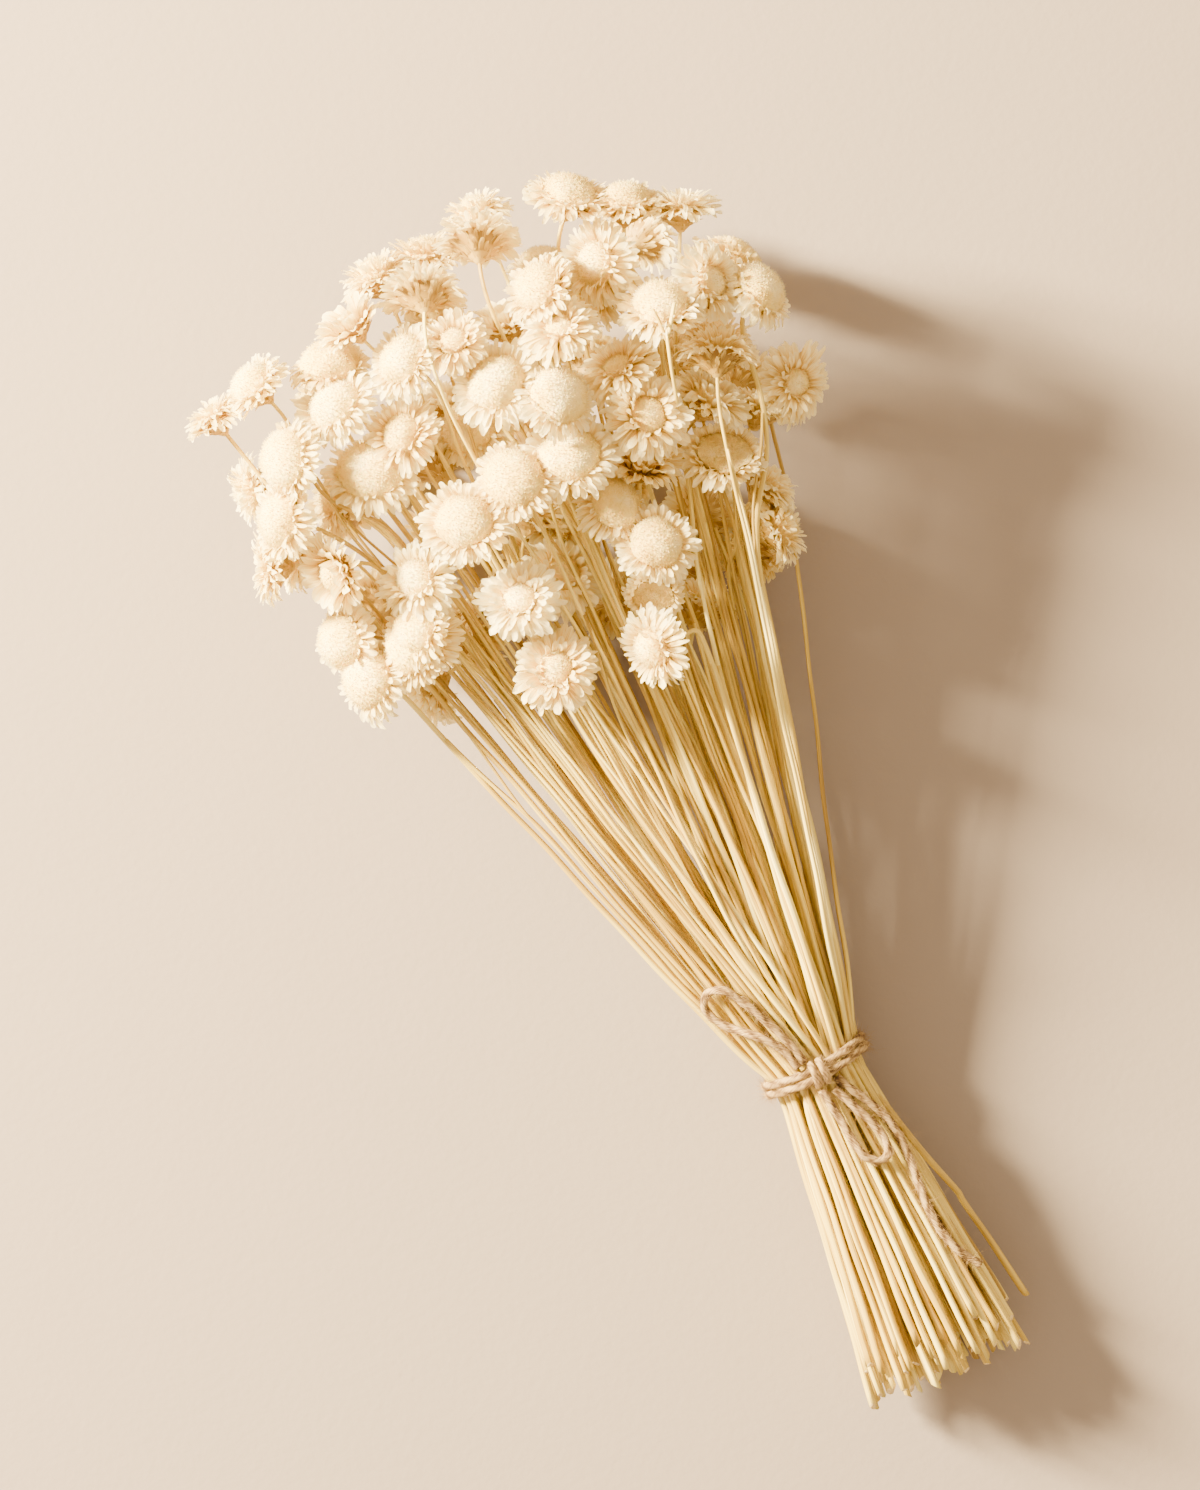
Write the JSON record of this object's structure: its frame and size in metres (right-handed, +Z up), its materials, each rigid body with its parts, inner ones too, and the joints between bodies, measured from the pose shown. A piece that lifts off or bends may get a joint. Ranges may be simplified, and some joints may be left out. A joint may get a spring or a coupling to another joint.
{
  "type": "bundle of dried daisies",
  "caption": "Lying bundle of dried cream daisies: domed felted heads with papery petals on straw stems, tied near the cut ends with jute twine in a bow.",
  "frame": {"origin": "centre of the whole bunch in X and Y, on the plane it lies on", "axes": "+Y runs along the stems from the cut ends to the flowers, +X is to the right seen from above, +Z is up"},
  "size_m": [0.1521, 0.3212, 0.0791],
  "materials": {
    "straw": "dry straw, slightly glossy",
    "cream": "matt felt and thin papery petals",
    "jute": "matt, fibrous"
  },
  "bodies": {
    "root": {"flower_17": "cream", "flower_22": "cream", "flower_23": "cream", "flower_25": "cream", "flower_27": "cream", "flower_28": "cream", "flower_29": "cream", "flower_30": "cream", "flower_31": "cream", "flower_32": "cream", "flower_33": "cream", "flower_34": "cream", "flower_35": "cream", "flower_36": "cream", "flower_37": "cream", "flower_39": "cream", "flower_40": "cream", "flower_41": "cream", "flower_42": "cream", "flower_43": "cream", "flower_44": "cream", "flower_45": "cream", "flower_46": "cream", "flower_48": "cream", "flower_49": "cream", "flower_50": "cream", "flower_51": "cream", "flower_52": "cream", "flower_53": "cream", "flower_54": "cream", "flowers_01": "cream", "flowers_02": "cream", "flowers_03": "cream", "flowers_04": "cream", "flowers_05": "cream", "flowers_06": "cream", "flowers_07": "cream", "flowers_08": "cream", "flowers_09": "cream", "flowers_10": "cream", "flowers_11": "cream", "flowers_12": "cream", "flowers_13": "cream", "flowers_14": "cream", "flowers_15": "cream", "flowers_16": "cream", "flowers_18": "cream", "flowers_19": "cream", "flowers_20": "cream", "flowers_21": "cream", "flowers_24": "cream", "flowers_26": "cream", "flowers_38": "cream", "flowers_47": "cream", "stems": "straw", "twine_bow_left": "jute", "twine_bow_right": "jute", "twine_tail": "jute", "twine_tie": "jute"}
  },
  "joints": []
}
